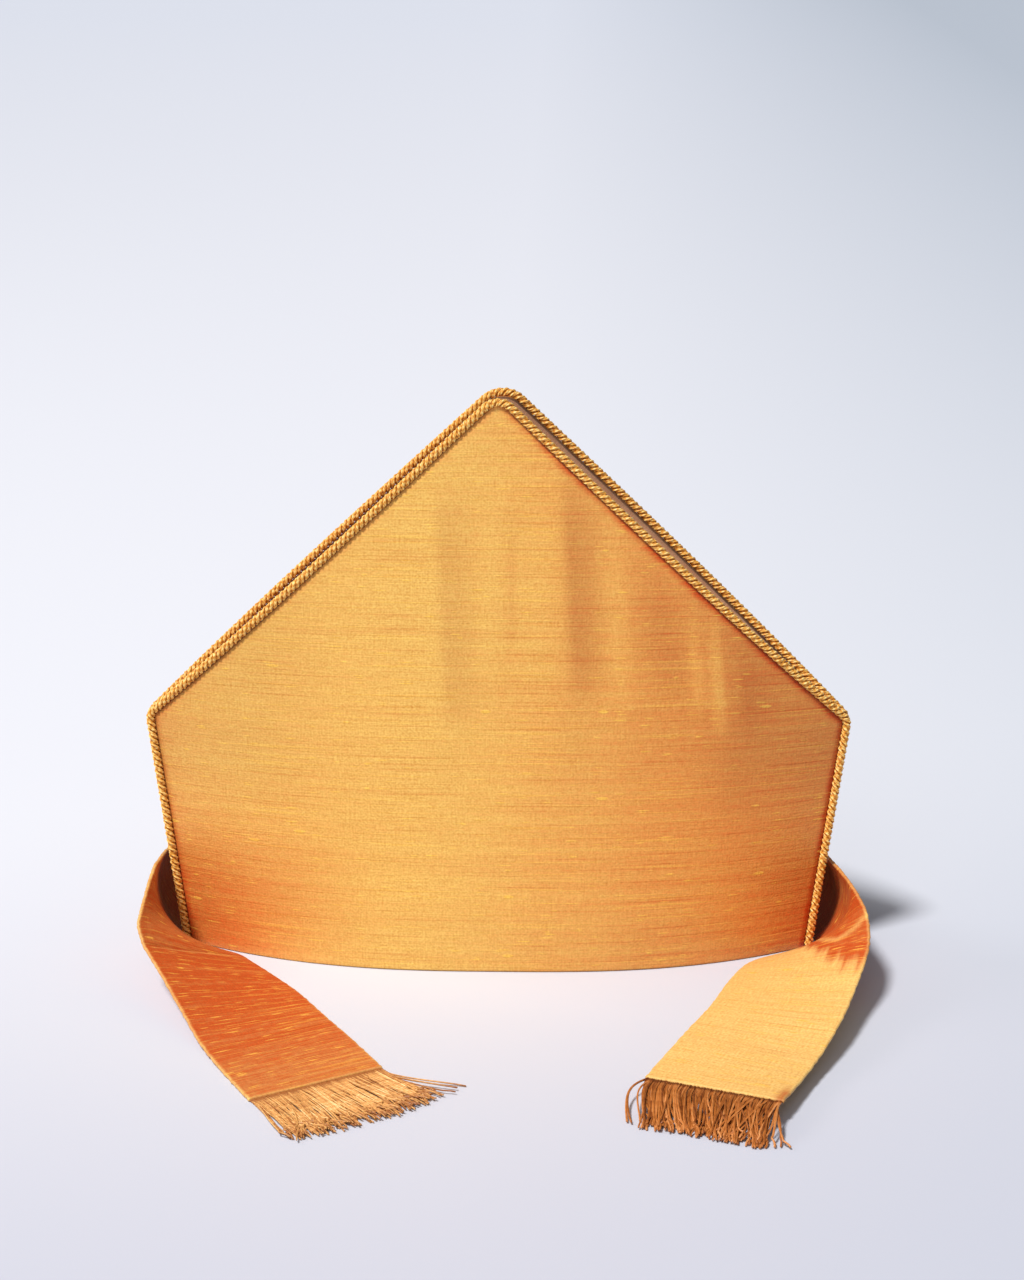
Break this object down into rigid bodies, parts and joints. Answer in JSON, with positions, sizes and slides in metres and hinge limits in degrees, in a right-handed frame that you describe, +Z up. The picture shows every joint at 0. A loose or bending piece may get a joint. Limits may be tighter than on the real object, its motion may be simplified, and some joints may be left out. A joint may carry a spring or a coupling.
{
  "type": "bishop mitre",
  "caption": "Bishop's mitre of shot silk standing upright, with peaked stiffened panels edged in twisted cord, a soft gusset between the peaks and fringed lappets brought to the front.",
  "frame": {"origin": "middle of the footprint's bounding box, on the surface that the mitre stands on", "axes": "+Z up towards the peaks, -Y the way the mitre's face and the lappets' fringed ends point, +X to the right of someone facing the mitre"},
  "size_m": [0.325, 0.289, 0.2576],
  "materials": {
    "silk_panel": "shot silk with slubs, satin",
    "silk_lappet": "shot silk with slubs, satin",
    "cord": "twisted thread, satin",
    "lining": "plain woven, matt",
    "fringe": "loose thread, satin"
  },
  "bodies": {
    "root": {"front_panel": "silk_panel", "rear_panel": "silk_panel", "front_cord": "cord", "rear_cord": "cord", "gusset": "lining", "lappet_left": "silk_lappet", "lappet_right": "silk_lappet", "fringe_left": "fringe", "fringe_right": "fringe"}
  },
  "joints": []
}
